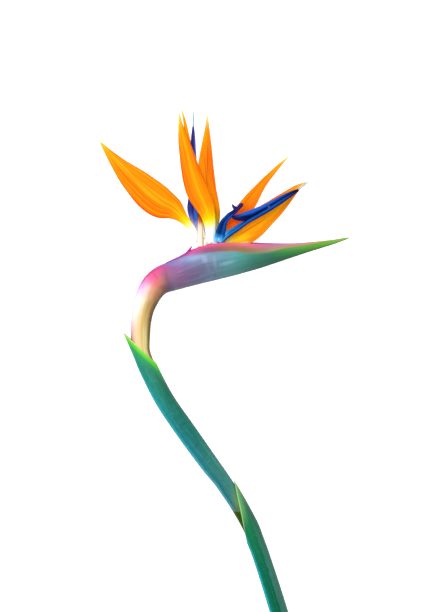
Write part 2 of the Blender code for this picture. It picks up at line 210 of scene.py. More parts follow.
def tube(name, rows, sides, ends="NOTHING", shape=None, span=(0.0, 1.0)):
    """A tube from a cylinder. Its rings are given their size, turned across the route and moved to
    their place. A row is x, y, z, half height and half width of the ring, in mm. The ring's top lies
    to the left of the route. shape, if given, works on the rings before they are placed. The map runs
    along the span."""
    deselect_everything()
    bpy.ops.mesh.primitive_cylinder_add(vertices=sides, radius=1, depth=2, end_fill_type=ends)
    piece = bpy.context.object
    piece.name = name
    edit(piece)
    bpy.ops.mesh.select_all(action="DESELECT")
    bpy.ops.mesh.select_mode(type="EDGE")
    mesh = bmesh.from_edit_mesh(piece.data)
    for edge in mesh.edges:
        edge.select = abs(edge.verts[0].co.z - edge.verts[1].co.z) > 1
    bpy.ops.mesh.subdivide(number_cuts=len(rows) - 2)
    bpy.ops.mesh.select_mode(type="VERT")
    if shape:
        shape(piece)
    for k, (height, ring) in enumerate(levels(piece, 2)):
        x, y, z, half_height, half_width = rows[k]
        centre = Vector((0, 0, height))
        along = heading(rows, k)
        left = UP.cross(along).normalized()
        pick(piece, ring)
        bpy.ops.transform.resize(value=(half_width * MM, half_height * MM, 1), center_override=centre)
        turn(Matrix((left.cross(along), left, along)).transposed(), centre)
        bpy.ops.transform.translate(value=Vector((x, y, z)) * MM - centre)
    bpy.ops.object.mode_set(mode="OBJECT")
    start = 0.0 if ends == "NOTHING" else 0.5  # a closed cylinder's side fills the map's upper half
    low, high = span
    for corner in piece.data.uv_layers[0].data:
        share = max(corner.uv.y - start, 0) / (1 - start)
        corner.uv.y = low + (high - low) * share
    return piece


def waves(count, side, size):
    """A shape for a tube's rings: the crests of so many waves, or with side -1 their troughs, are
    drawn out or pressed in to this size."""
    def shape(piece):
        wave = {i: math.cos(count * math.atan2(at.x, at.y)) for i, at in places(piece).items()}
        for height, ring in levels(piece, 2):
            pick(piece, [i for i in ring if side * wave[i] > 0.5])
            bpy.ops.transform.resize(value=(size, size, 1), center_override=(0, 0, height))
    return shape


def rod(name, plan, rings, sides, span=(0.0, 1.0), flat=1.0, shape=None):
    """A closed round piece with narrowing ends. A row of the plan is x, y, z and radius, in mm."""
    rows = [(x, y, z, r, r * flat) for x, y, z, r in evenly(plan, rings)]
    piece = tube(name, rows, sides, "NGON", shape, span)
    soften(piece)
    return piece


def cut_mouth(piece, start, end):
    """Cuts an open tube along a slanting line seen from above, and drops what is left of the line."""
    first, last = Vector((*start, 0)) * MM, Vector((*end, 0)) * MM
    outwards = UP.cross((last - first).normalized())
    edit(piece)
    bpy.ops.mesh.select_all(action="SELECT")
    bpy.ops.mesh.bisect(plane_co=first, plane_no=outwards, clear_outer=True, use_fill=False)
    bpy.ops.object.mode_set(mode="OBJECT")


# ---- materials

# Colours are written as six hexadecimal digits, and as they should look under the lamps. The colours
# along a piece are written as a text of stops: a place from 0 to 1, its colour, and so on.
LIGHT = 1.3  # how much brighter than white paper the lamps make a surface that faces up
SHADED_ORANGE = (1.0, 0.30, 0.001, 1)  # brighter than any code, for petals that lie in shade
SHADED_RED = (0.92, 0.085, 0.001, 1)


def shade(code):
    """The colour that a code stands for."""
    parts = [int(code[k : k + 2], 16) / 255 for k in (0, 2, 4)]
    light = [((p + 0.055) / 1.055) ** 2.4 if p > 0.04045 else p / 12.92 for p in parts]
    return (*(p / LIGHT for p in light), 1)


class Finish:
    """A material built up in layers of paint."""

    def __init__(self, name, roughness, specular):
        self.material = bpy.data.materials.new(name)
        self.material.use_nodes = True
        self.tree = self.material.node_tree
        self.shader = self.tree.nodes["Principled BSDF"]
        self.shader.inputs["Roughness"].default_value = roughness
        self.shader.inputs["Specular IOR Level"].default_value = specular
        place = self.tree.nodes.new("ShaderNodeTexCoord")
        self.uv = place.outputs["UV"]
        self.place = place.outputs["Object"]
        split = self.add("ShaderNodeSeparateXYZ", Vector=self.uv)
        self.across, self.along = split.outputs["X"], split.outputs["Y"]
        split = self.add("ShaderNodeSeparateXYZ", Vector=self.place)
        self.x, self.y, self.z = (split.outputs[axis] for axis in "XYZ")
        self.paint = None

    def add(self, kind, settings=None, **values):
        """A new node with these settings. A value or a link is given to each input by its name, or
        by n and its number."""
        made = self.tree.nodes.new(kind)
        for key, value in (settings or {}).items():
            setattr(made, key, value)
        for key, value in values.items():
            socket = made.inputs[int(key[1:]) if key[1:].isdigit() else key.replace("_", " ")]
            if isinstance(value, bpy.types.NodeSocket):
                self.tree.links.new(value, socket)
            else:
                socket.default_value = value
        return made

    def math(self, operation, first, second=0.0, third=0.0):
        made = self.add("ShaderNodeMath", {"operation": operation}, n0=first, n1=second, n2=third)
        return made.outputs[0]

    def times(self, first, *others):
        for other in others:
            first = self.math("MULTIPLY", first, other)
        return first

    def step(self, value, start, end):
        """0 at start, rising smoothly to 1 at end. The two may be in either order."""
        made = self.add("ShaderNodeMapRange", {"interpolation_type": "SMOOTHSTEP"}, Value=value)
        numbers = (start, end, 0.0, 1.0) if start < end else (end, start, 1.0, 0.0)
        for key, number in zip(("From Min", "From Max", "To Min", "To Max"), numbers):
            made.inputs[key].default_value = number
        return made.outputs[0]

    def up(self, start, end):
        """A step along the piece, whose foot is 0 and whose tip is 1."""
        return self.step(self.along, start, end)

    def stripe(self, value, middle, width):
        """1 at the middle, falling smoothly to 0 a width away on both sides."""
        return self.step(self.math("ABSOLUTE", self.math("SUBTRACT", value, middle)), width, 0.0)

    def ramp(self, value, stops):
        """The stops' colours along the value, or numbers where the stops are pairs of them."""
        if isinstance(stops, str):
            words = stops.split()
            stops = [(float(place), shade(code)) for place, code in zip(words[::2], words[1::2])]
        else:
            stops = [(place, (number, number, number, 1)) for place, number in stops]
        made = self.add("ShaderNodeValToRGB", Fac=value)
        band = made.color_ramp
        while len(band.elements) < len(stops):
            band.elements.new(0.5)
        for element, (place, colour) in zip(band.elements, stops):
            element.position, element.color = place, colour
        return made.outputs["Color"]

    def mix(self, factor, first, second):
        made = self.add("ShaderNodeMix", {"data_type": "RGBA", "clamp_factor": True})
        for socket, value in ((0, factor), (6, first), (7, second)):
            if isinstance(value, bpy.types.NodeSocket):
                self.tree.links.new(value, made.inputs[socket])
            else:
                made.inputs[socket].default_value = shade(value) if isinstance(value, str) else value
        return made.outputs[2]

    def layer(self, colour, *masks):
        """Paints over what is there, where all the masks are 1."""
        self.paint = self.mix(self.times(*masks), self.paint, colour)

    def grid(self, across, along, bands):
        """Paint in bands: a place across and the stops along it, for each band."""
        (last, stops), *others = bands.items()
        painted = self.ramp(along, stops)
        for place, stops in others:
            painted = self.mix(self.step(across, last, place), painted, self.ramp(along, stops))
            last = place
        return painted

    def noise(self, stretch, detail=3.0, seed=0.0, source=None, roughness=0.55):
        moved = (seed, seed * 0.7, seed * 0.3)
        laid = self.add("ShaderNodeMapping", Vector=source or self.uv, Scale=stretch, Location=moved)
        wander = {"Detail": detail, "Roughness": roughness}
        return self.add("ShaderNodeTexNoise", Vector=laid.outputs[0], Scale=1.0, **wander).outputs[0]

    def sway(self, value, noise, amount):
        """The value, moved up and down a little by a noise."""
        return self.math("ADD", value, self.math("MULTIPLY_ADD", noise, amount, -amount / 2))

    def spot(self, x, y, length, breadth, angle=0.0, hard=0.2):
        """1 inside an oval round a place seen from above, fading to 0 at its edge, in mm."""
        laid = self.add(
            "ShaderNodeMapping",
            {"vector_type": "TEXTURE"},
            Vector=self.place,
            Location=(x * MM, y * MM, 0),
            Rotation=(0, 0, math.radians(angle)),
            Scale=(length * MM, breadth * MM, 1000),
        )
        away = self.add("ShaderNodeVectorMath", {"operation": "LENGTH"}, n0=laid.outputs[0])
        return self.step(away.outputs["Value"], 1.0, hard)

    def beside(self, start, end):
        """How far a place lies to the right of a line seen from above, in mm."""
        first, last = Vector((*start, 0)), Vector((*end, 0))
        outwards = (last - first).normalized().cross(UP)
        dot = {"operation": "DOT_PRODUCT"}
        reach = self.add("ShaderNodeVectorMath", dot, n0=self.place, n1=outwards)
        return self.math("MULTIPLY_ADD", reach.outputs["Value"], 1000.0, -outwards.dot(first))

    def line(self, start, end, width):
        """A stripe along a line seen from above, with its ends and width in mm."""
        return self.stripe(self.beside(start, end), 0.0, width)

    def round_from_outside(self):
        """0 along a tube's left side seen from above, 1 along its right side."""
        centred = self.math("ABSOLUTE", self.math("SUBTRACT", self.across, 0.5))
        return self.math("MULTIPLY_ADD", centred, -2.0, 1.0)

    def bump(self, height, strength, distance):
        made = self.add("ShaderNodeBump", Strength=strength, Distance=distance, Height=height)
        self.tree.links.new(made.outputs[0], self.shader.inputs["Normal"])

    def done(self):
        self.tree.links.new(self.paint, self.shader.inputs["Base Color"])
        return self.material


# ---- sepal paint

def sepal_finish(name, bands, lines, seed, details, veins):
    """A sepal: colours in bands from its left edge to its right, with light and dark veins."""
    f = Finish(name, 0.5, 0.035)
    drift = f.noise((4, 1.5, 1), 2.0, seed)
    along = f.sway(f.along, f.noise((16, 1.2, 1), 2.0, seed + 3), 0.07)
    across = f.sway(f.across, drift, 0.12)
    f.paint = f.grid(across, along, bands)
    coloured = f.times(f.up(0.14, 0.3), f.up(1.02, 0.88))
    broad = f.noise((veins * 0.45, 0.8, 1), 2.0, seed + 7)
    fine = f.noise((veins, 1.2, 1), 3.0, seed + 5)
    hair = f.noise((veins * 3.5, 2.0, 1), 3.0, seed + 9)
    f.layer("F26C00", f.step(broad, 0.50, 0.38), coloured, lines)
    f.layer("FFB800", f.step(broad, 0.53, 0.63), coloured, lines * 0.7)
    f.layer("E25400", f.step(fine, 0.47, 0.36), coloured, lines)
    f.layer("FFC808", f.step(fine, 0.55, 0.66), coloured, lines * 0.65)
    f.layer("E86000", f.step(hair, 0.47, 0.36), coloured, lines * 0.6)
    details(f)
    f.bump(f.math("MULTIPLY_ADD", fine, 0.7, f.math("MULTIPLY", broad, 0.8)), 0.55, 0.0004)
    return f.done()


def left_sepal_details(f):
    middle = f.ramp(f.along, [(0.3, 0.50), (0.5, 0.52), (0.75, 0.60), (1.0, 0.64)])
    away = f.math("ABSOLUTE", f.math("SUBTRACT", f.across, middle))
    f.layer("FFDC10", f.step(away, 0.035, 0.0), f.up(0.55, 0.80), 0.95)
    f.layer("FFC408", f.step(away, 0.07, 0.0), f.up(0.30, 0.42), f.up(0.75, 0.5), 0.25)
    f.layer("F46A00", f.stripe(f.across, 0.34, 0.05), f.up(0.3, 0.4), f.up(0.9, 0.8), 0.6)
    f.layer("F05400", f.step(f.across, 0.16, 0.0), f.up(0.26, 0.36), f.up(0.62, 0.5), 0.8)


def front_sepal_details(f):
    f.layer("D9F4FF", f.step(f.across, 0.72, 1.0), f.up(0.16, 0.08), 0.9)
    f.layer("F08200", f.stripe(f.across, 0.36, 0.05), f.up(0.3, 0.4), f.up(0.95, 0.8), 0.7)
    f.layer("F28600", f.stripe(f.across, 0.62, 0.035), f.up(0.25, 0.35), f.up(0.8, 0.6), 0.7)


def rear_sepal_details(f):
    lit = f.step(f.y, 0.168, 0.178), f.step(f.y, 0.234, 0.226), f.step(f.across, 0.4, 0.6)
    f.layer(SHADED_ORANGE, *lit, 0.9)
    f.layer("C65A00", f.step(f.y, 0.1375, 0.143), f.step(f.y, 0.158, 0.150), 0.95)
    # Painted shadow: a brown line down the right of the cream claw.
    f.layer("C49A6C", f.step(f.across, 0.66, 0.92), f.step(f.y, 0.146, 0.140), 0.9)
    f.layer("F4CFD6", f.step(f.across, 0.3, 0.0), f.step(f.y, 0.146, 0.138), 0.6)


def upright_sepal_details(f):
    # The red-orange line along the crease is partly painted shade in its valley.
    f.layer("E04800", f.stripe(f.across, 0.62, 0.06), f.up(0.30, 0.42), f.up(0.88, 0.72), 0.9)
    f.layer("FF9204", f.stripe(f.across, 0.45, 0.07), f.up(0.30, 0.42), f.up(0.95, 0.8), 0.7)
    edge = f.beside((-9.8, 155), (-26.8, 201.8))
    lit = f.stripe(edge, 1.5, 6.5), f.step(f.y, 0.146, 0.158), f.step(f.y, 0.206, 0.190)
    f.layer(SHADED_ORANGE, *lit, 0.9)
    # Partly painted shade: a red line down the crease.
    line = f.line((-12.2, 150), (-17.2, 196), 0.8)
    f.layer("F05400", line, f.step(f.y, 0.156, 0.166), f.step(f.y, 0.2, 0.19), 0.8)
    # Painted shade: olive-brown at the right of the foot.
    f.layer("96761C", f.spot(-4.2, 138, 4, 12, 8), 0.8)


def upper_sepal_details(f):
    f.layer("FA5A04", f.spot(13, 147, 16, 9, 40), 0.85)


def lower_sepal_details(f):
    # Painted light: bright red where the arrow's shadow falls on the sepal.
    f.layer(SHADED_RED, f.spot(10, 141, 13, 5.5, 28, 0.5), 0.95)
    # Painted highlight: a pale spot near the foot.
    f.layer("FFD9A0", f.spot(0.5, 136.5, 2.2, 3.6, 10), 0.9)
    f.layer("FFCC08", f.spot(13, 125.8, 15, 3.2, 22), 0.8)
    f.layer("FFE490", f.spot(17, 123.4, 7, 1.5, 8, 0.0), 0.6)
    # Painted light: bright orange along the arrow's shadow.
    f.layer(SHADED_ORANGE, f.spot(24, 138.5, 24, 4.2, 33, 0.3), 0.85)
    f.layer("E45400", f.line((5, 125.0), (46, 150.5), 0.8), f.spot(24, 137, 24, 8, 31), 0.8)
    f.layer("FF8C10", f.stripe(f.across, 0.16, 0.12), f.up(0.42, 0.55), 0.8)
    f.layer("F46800", f.stripe(f.across, 0.02, 0.12), f.up(0.3, 0.5), 0.9)


WHITE_CLAW = "0 FFFFFC .11 FFFFF8 .14 FFF882 .175 FFE400 "

# Each sepal's bands, how strong its veins are, its seed, its details and how many veins it has.
SEPAL_PAINT = {
    "old_floret_left_sepal": ({
        0: WHITE_CLAW + ".21 FFA400 .28 F87800 .55 F87000 .8 F98200 .93 F0A404 1 D8D838",
        0.25: WHITE_CLAW + ".23 FFB800 .31 FF8200 .5 FF7C00 .75 FF8C00 .93 FFBC08 1 D8D838",
        0.5: WHITE_CLAW + ".24 FFC000 .32 FFA200 .5 FFAE00 .7 FF9C00 .93 F8C010 1 D8D838",
        0.8: WHITE_CLAW + ".23 FFB600 .33 FF9E00 .6 FF9600 .9 FF9E00 .96 F0C010 1 C8D048",
        1: WHITE_CLAW + ".22 F89C00 .32 EC8600 .6 F07400 .9 F08000 .96 E8B010 1 C8D048",
    }, 0.6, 1.0, left_sepal_details, 22),
    "old_floret_front_sepal": ({
        0: WHITE_CLAW + ".22 FFA400 .29 F27400 .6 F47C00 .8 FC9000 .92 FFD400 1 E4F090",
        0.22: WHITE_CLAW + ".22 FFB800 .3 FF9400 .7 FF9600 .84 FFAC00 .92 FFE000 1 E4F090",
        0.55: WHITE_CLAW + ".22 FFC400 .3 FFAC00 .7 FFA204 .88 FFB800 1 DCE88C",
        0.85: WHITE_CLAW + ".22 FFAC00 .29 FF8800 .6 F87A00 .85 FF8C00 .95 FFBC00 1 DCE88C",
    }, 0.55, 9.0, front_sepal_details, 15),
    "old_floret_rear_sepal": ({
        0: "0 FFFCF8 .13 FCF0E4 .2 E89A40 .3 F07800 .7 F08000 .92 F8B404 1 F4F0A0",
        0.5: "0 FBF0DC .13 F6E6C8 .2 E08C30 .3 FF9800 .7 FFA400 .92 FFC808 1 F4F0A0",
        1: "0 F8EAD0 .13 E4D0A0 .2 C87C28 .3 F08400 .7 F08400 .92 F8A804 1 F4F0A0",
    }, 0.45, 17.0, rear_sepal_details, 10),
    "new_floret_upright_sepal": ({
        0: WHITE_CLAW + ".22 FFA818 .45 FF9A18 .62 FF9C10 .7 FF9400 .88 FFB804 1 F4F4A8",
        0.35: WHITE_CLAW + ".22 FFA418 .45 FF9818 .62 FF9408 .7 FF8E00 .88 FFAC04 1 F4F4A8",
        0.75: WHITE_CLAW + ".22 F09000 .35 FF8400 .7 FF7E00 .88 FFA204 1 F4F4A8",
        # The olive-brown at the foot of the right edge is painted shade.
        1: WHITE_CLAW + ".22 B88408 .35 F87C00 .7 FA7400 .88 FF9A04 1 F4F4A8",
    }, 0.42, 23.0, upright_sepal_details, 13),
    "new_floret_upper_sepal": ({
        0: "0 FFB040 .1 FF7A08 .4 FF9400 .7 FA9C00 .9 FFC004 1 E8E888",
        0.4: "0 FFB040 .1 FF6E08 .4 FF8600 .7 FF8E00 .9 FFB804 1 E8E888",
        1: "0 FFB040 .1 FF6408 .4 FA7400 .7 F87E00 .9 FFA404 1 E8E888",
    }, 0.34, 31.0, upper_sepal_details, 9),
    "new_floret_lower_sepal": ({
        0: "0 FFD060 .1 F86A04 .4 F86400 .7 FF6C00 .88 FF9404 1 F4E040",
        0.3: "0 FFE070 .1 FFB208 .3 FF9C00 .6 FFA000 .85 FFA804 1 F4E040",
        0.7: "0 FFE890 .15 FFC410 .3 FFAC00 .6 FFA800 .85 FF9C00 1 F4D020",
        1: "0 FFE890 .15 F4AC08 .3 EC9000 .6 F08A00 .85 F48800 1 F0B810",
    }, 0.5, 41.0, lower_sepal_details, 18),
}


# ---- blue paint

def blue_finish(name, bands, seed, streaks, details=None):
    """A tongue or hood: blue in bands from its left edge to its right, with fine streaks."""
    f = Finish(name, 0.4, 0.05)
    across = f.sway(f.across, f.noise((3, 4, 1), 2.0, seed), 0.06)
    f.paint = f.grid(across, f.along, bands)
    fine = f.noise((11, 2.4, 1), 4.0, seed + 2)
    hair = f.noise((40, 4.0, 1), 3.0, seed + 6)
    body = f.up(0.12, 0.3)
    f.layer("030C40", f.step(fine, 0.47, 0.34), body, streaks)
    f.layer("1C74E4", f.step(fine, 0.56, 0.70), body, streaks * 0.6)
    f.layer("061450", f.step(hair, 0.47, 0.34), body, streaks * 0.6)
    if details:
        details(f)
    f.bump(fine, 0.6, 0.0003)
    return f.done()


def new_tongue_details(f):
    f.layer("5C64A4", f.spot(37.6, 153.2, 1.6, 1.3, 30), 0.8)
    f.layer("54BCFA", f.spot(-6.5, 126.0, 4.5, 4.5), 0.7)


# The near-black navy under the newer tongue's barb is partly painted shade.
ROYAL = {
    0: "0 C8ECFA .07 62B4EE .14 1878C8 .3 0A4AA0 .35 010640 .41 020A48 .46 0450B0 .7 0458C0 "
        ".9 0C2C84 .96 100A34 1 160410",
    0.15: "0 D4F2FC .07 70BCF0 .14 1C7CCC .3 0C58B0 .35 010640 .41 03125C .46 0068DC .7 0062D4 "
        ".88 08389C .96 100A34 1 160410",
    0.26: "0 D8F4FC .07 70BCF0 .14 1C7CCC .3 0C58B0 .35 010640 .43 010850 .5 0050B4 .7 004CAC "
        ".88 06246C .96 100A34 1 160410",
    0.35: "0 C8ECFA .07 5CB0EC .14 1068BC .3 083C90 .36 010640 .42 010640 .62 010840 .8 03144C "
        ".96 080420 1 160410",
    0.5: "0 98D4F4 .07 48A4E4 .14 0C60B0 .3 0850A8 .37 020E4C .45 010A44 .62 02104C .8 06286C "
        ".96 100A34 1 160410",
    0.6: "0 80C4F0 .07 48A4E4 .14 1C80CC .3 1474C4 .45 1070D0 .7 0E5CC4 .88 0C3C94 .96 140C3C "
        "1 160410",
    0.76: "0 58ACE4 .06 2480CC .14 0C5CAC .3 0854A8 .5 084CA8 .7 0846A0 .88 0A3484 .96 100834 "
        "1 160410",
    0.88: "0 1C5C9C .08 042C6C .2 021C60 .5 031C64 .88 041450 1 160410",
}
VIOLET = {
    0: "0 FFFFFC .1 FFF4F6 .15 F8C4D4 .2 9C8CC0 .25 2A3894 .4 20206C .7 38308C .9 30287C 1 403C80",
    0.35: "0 FFFFFC .12 F8D8E4 .17 C898C4 .21 5C6CC0 .28 2C3CA0 .5 28287C .7 3C3490 .9 352C80 "
        "1 403C80",
    0.5: "0 FFFFFC .1 F4E4EC .15 A8A0D0 .2 3454AC .28 1C2878 .5 1C1C64 .7 281C60 .9 28205C "
        "1 403C80",
    0.7: "0 FFFFFC .1 F0E8F0 .15 90A0D8 .2 3A64C0 .4 3048B0 .7 4450C8 .9 3C348C 1 403C80",
    1: "0 FFFFFC .1 F0E8F0 .15 90A0D8 .2 3C6CC4 .4 3C58C8 .7 6474E4 .85 7C88D8 .95 483C8C 1 403C80",
}
NAVY = {
    0: "0 A4ECFF .12 40A8F0 .22 085098 .45 0848A0 .7 0C50AC .82 102880 1 241A6C",
    0.25: "0 8CE0FF .12 309CE8 .22 043C80 .45 02307C .7 083C94 .82 101C6C 1 20185C",
    0.5: "0 78D4FC .12 2088D8 .22 02265C .45 011444 .7 041C58 .82 0C0E3C 1 160E40",
    0.75: "0 78D4FC .12 309CE8 .22 044498 .45 0448A0 .7 0850B0 .82 142488 1 281E74",
    1: "0 5CB4EC .08 1060B4 .2 03286C .45 061C58 .7 082C74 .82 18145C 1 201450",
}


# ---- stalk and leaf paint

BEND = (-44.0, 72.0)  # the middle of the neck's bend, in mm
BEND_INSIDE, BEND_DEPTH = 10, 24  # from there to the skin, and from the skin to the far side, in mm
# The shoulder's bands run from the inside of the bend to its outside; the dark olive-brown inside the
# bend is partly painted shade.
SHOULDER = {
    0: "0 543C30 .3 5C4038 .55 6C4C4C .8 605064 1 605C74",
    0.2: "0 A0764C .25 B07C58 .45 B07C60 .65 8C5C58 .85 745470 1 70607E",
    0.42: "0 D0B080 .2 DCA878 .38 E09C80 .52 DC7C70 .7 BC7868 .85 946072 1 88648A",
    0.62: "0 F2E4D0 .2 F4DCD8 .36 F4CCD0 .46 F08CA8 .56 EA6C90 .66 E07088 .8 B06482 1 90648E",
    0.82: "0 FEFCFE .16 FCEAFF .3 FBBCFD .42 FB94DC .52 F874B0 .62 F060A0 .74 EA5C98 .86 B85E94 "
        "1 98669C",
    0.93: "0 FEFCFE .16 F8E0FC .3 F4A4F4 .38 F070B8 .45 DC3468 .6 D8346C .72 DC4898 .84 B85CA6 "
        ".93 9874BC 1 9480BC",
}


def bend_paint(f):
    """The shoulder where the neck turns into the spathe, painted round the inside of the bend. Gives
    how far round the bend a place lies, 0 at the neck and 1 at the spathe, and its colour."""
    dx = f.math("MULTIPLY_ADD", f.x, 1000.0, -BEND[0])
    dy = f.math("MULTIPLY_ADD", f.y, 1000.0, -BEND[1])
    turned = f.math("DIVIDE", f.math("ARCTAN2", dy, f.math("MULTIPLY", dx, -1.0)), math.pi / 2)
    away = f.math("SQRT", f.math("ADD", f.times(dx, dx), f.times(dy, dy)))
    away = f.math("MULTIPLY_ADD", away, 1 / BEND_DEPTH, -BEND_INSIDE / BEND_DEPTH)
    patchy = f.noise((90, 90, 90), 2.0, 4.0, f.place)
    turned = f.sway(turned, patchy, 0.06)
    away = f.sway(away, patchy, 0.07)
    return turned, f.grid(away, turned, SHOULDER)


def seam_shade(f):
    """The dark line where the shoulder meets the spathe."""
    f.layer("7E5C68", f.spot(-48.6, 93, 2.6, 9.5, 12, 0.1), 0.6)


# Bands from the neck's left side to its right: the pink and white on the left are partly painted
# light, the pale line near .65 is a painted highlight, and the olive-brown on the right is partly
# painted shade.
NECK = {
    0: "0 D88C90 .3 EC94A4 .5 F4C0CC .66 F8E4EC .8 FEFCFE",
    0.16: "0 E8A498 .3 F0A8AC .5 F6C4C8 .66 FEEEEC .8 FFFFFF",
    0.27: "0 F0BC98 .3 FABCA8 .5 FCD0BC .66 FFF2EB .8 FFFFFF",
    0.36: "0 F4CFA0 .3 FFD4B0 .5 FFDAB4 .7 FFE9D4 .85 FFFCF8",
    0.47: "0 EED898 .3 F0CC8C .5 ECC888 .7 EACF94 .95 F2E2C0",
    0.56: "0 E0CC80 .5 D0B46C .7 D0B268 1 D0AC70",
    0.65: "0 F4EAA8 .4 F8ECB4 .6 E4CE8C 1 C09860",
    0.72: "0 E0CC84 .4 D8C07C .6 C09C58 1 A87C54",
    0.79: "0 A48A44 .5 8C7034 1 805C40",
    0.86: "0 705820 .5 604C20 1 5C4434",
    1: "0 5C4820 .5 4C3818 1 402C20",
}


def stalk_finish():
    """The stalk and its cream neck: white and pink outside the bend, olive-brown inside it, partly
    painted light and shade.
    """
    f = Finish("stalk skin", 0.42, 0.06)
    side = f.sway(f.round_from_outside(), f.noise((3, 30, 1), 3.0), 0.06)
    height = f.math("MULTIPLY_ADD", f.y, 20.0, -0.5)  # 0 at y 25 mm, 1 at y 75 mm
    f.paint = f.grid(side, height, NECK)
    grain = f.noise((26, 3, 1), 4.0, 2.0)
    f.layer("A48038", f.step(grain, 0.46, 0.33), f.step(side, 0.36, 0.5), 0.45)
    f.layer("FCF0C0", f.step(grain, 0.56, 0.70), f.step(side, 0.36, 0.5), 0.45)
    f.layer("D08868", f.spot(-75.8, 42.5, 0.6, 0.9), 0.5)
    turned, shoulder = bend_paint(f)
    f.layer(shoulder, f.step(turned, -0.02, 0.16), f.step(f.y, 0.066, 0.074))
    f.layer("D83C60", f.spot(-58.2, 94.2, 6.0, 2.2, -50, 0.0), 0.5)
    seam_shade(f)
    f.bump(grain, 0.4, 0.0004)
    return f.done()


def cut_finish():
    f = Finish("cut end", 0.6, 0.2)
    spots = f.noise((900, 900, 900), 2.0, 0.0, f.place)
    f.paint = f.ramp(spots, ".38 8FA36A .52 C9D19A .66 E4E6C0")
    f.bump(spots, 0.4, 0.0003)
    return f.done()


def mottle(f, seed, light, dark, share):
    """Fine lengthwise lines and small blotches of a leaf's skin."""
    lines = f.noise((30, 4.0, 1), 4.0, seed)
    hair = f.noise((90, 6.0, 1), 3.0, seed + 2)
    blotches = f.noise((12, 50, 1), 4.0, seed + 4, roughness=0.7)
    f.layer(light, f.step(lines, 0.54, 0.70), share)
    f.layer(dark, f.step(lines, 0.46, 0.30), share)
    f.layer(light, f.step(blotches, 0.54, 0.72), share * 0.8)
    f.layer(dark, f.step(blotches, 0.46, 0.28), share * 0.8)
    f.layer(dark, f.step(hair, 0.46, 0.34), share * 0.7)
    f.bump(f.math("MULTIPLY_ADD", blotches, 0.6, lines), 0.45, 0.00035)


# The slanting cut of each sheath's mouth, in mm. What lies to its left is dropped.
UPPER_MOUTH = ((-85.9, 46.2), (-59.5, 22.1))
LOWER_MOUTH = ((16.7, -121.6), (8.2, -78.0))
# The sheaths' bands run from their left side to their right; the cyan bands along the left side are
# painted reflected light.
UPPER_LEAF = {
    0: "0 50A8C0 .3 58B4CC .5 22B8C8 .7 06B2C6 .85 1CB4B4 .93 30B890",
    0.22: "0 3C98A8 .3 48A4B4 .5 1CA8B4 .7 0CA8B4 .85 24A490 .93 34B470",
    0.3: "0 2F7C7C .2 2A7078 .5 207F88 .7 268C86 .84 2C9278 .93 3CB060",
    0.55: "0 3C7A70 .2 3C8078 .5 1C706A .7 1F7A68 .84 328264 .93 34A458",
    0.78: "0 547C68 .2 4E8C84 .5 22786C .7 246C58 .84 407C60 .93 3C9458",
    1: "0 5C8070 .2 60988E .5 308070 .7 246C58 .84 3C7860 .93 3C9060",
}
# The cyan bands along the left side are painted reflected light.
LOWER_LEAF = {
    0: "0 38C4D4 .5 2CC0CC .72 34BCBC .86 60B890 1 A0C880",
    0.2: "0 14B0C4 .5 1CB4C0 .72 28AC9C .86 50A878 1 90BC70",
    0.26: "0 087C78 .5 087C68 .72 1C8858 .86 48A05C 1 8CC078",
    0.36: "0 036444 .5 036C4C .72 147C4C .86 409854 1 80B46C",
    0.56: "0 025840 .5 046448 .72 177448 .86 348850 1 70A860",
    0.62: "0 387464 .5 3A7868 .72 287452 .86 347C50 1 649858",
    0.84: "0 3C7464 .5 3F7868 .72 346E5C .86 3A7858 1 5C8C54",
    1: "0 2C6456 .5 30685C .72 306454 1 547C50",
}


def upper_sheath_finish():
    f = Finish("upper sheath", 0.4, 0.05)
    side = f.sway(f.round_from_outside(), f.noise((4, 26, 1), 3.0), 0.12)
    f.paint = f.grid(side, f.along, UPPER_LEAF)
    mottle(f, 3.0, "4CA8A0", "063C3C", 0.36)
    inside = f.beside(*UPPER_MOUTH)
    edge = f.sway(inside, f.noise((5, 40, 1), 3.0, 8.0), 1.2)
    f.layer("34A85C", f.step(edge, 9.0, 3.6), 0.8)
    f.layer("5CCC3C", f.step(edge, 4.4, 2.8))
    f.layer("78DC44", f.step(edge, 2.8, 1.4), 0.8)
    f.layer("D4F090", f.step(inside, 0.9, 0.4), 0.85)
    f.layer("9C8A3C", f.spot(-86.2, 45.4, 2.2, 1.6), 0.9)
    # Painted light and shadow: the olive tint near the lower sheath's mouth is painted light, and the
    # dark olive below it painted shadow.
    near = f.math("MULTIPLY", f.beside(*LOWER_MOUTH), -1.0)
    f.layer("6C9050", f.step(near, 7.5, 0.0), f.step(f.y, -0.080, -0.098), 0.8)
    f.layer("545030", f.step(near, 9.0, 2.0), f.step(f.y, -0.096, -0.106), 0.5)
    f.layer("2C4C00", f.step(f.y, -0.1052, -0.1066))
    return f.done()


def lower_sheath_finish():
    f = Finish("lower sheath", 0.4, 0.05)
    wander = f.noise((4, 26, 1), 3.0)
    side = f.sway(f.round_from_outside(), wander, 0.12)
    f.paint = f.grid(side, f.along, LOWER_LEAF)
    mottle(f, 12.0, "40907A", "023C2C", 0.34)
    inside = f.beside(*LOWER_MOUTH)
    edge = f.sway(inside, wander, 0.8)
    f.layer("7CC074", f.step(edge, 7.0, 1.0), f.step(f.y, -0.122, -0.100), 0.6)
    f.layer("A4D888", f.step(inside, 1.3, 0.5), f.step(f.y, -0.126, -0.116), 0.8)
    f.layer("A89048", f.spot(7.6, -80.4, 1.8, 2.4), 0.85)
    return f.done()


# ---- spathe paint

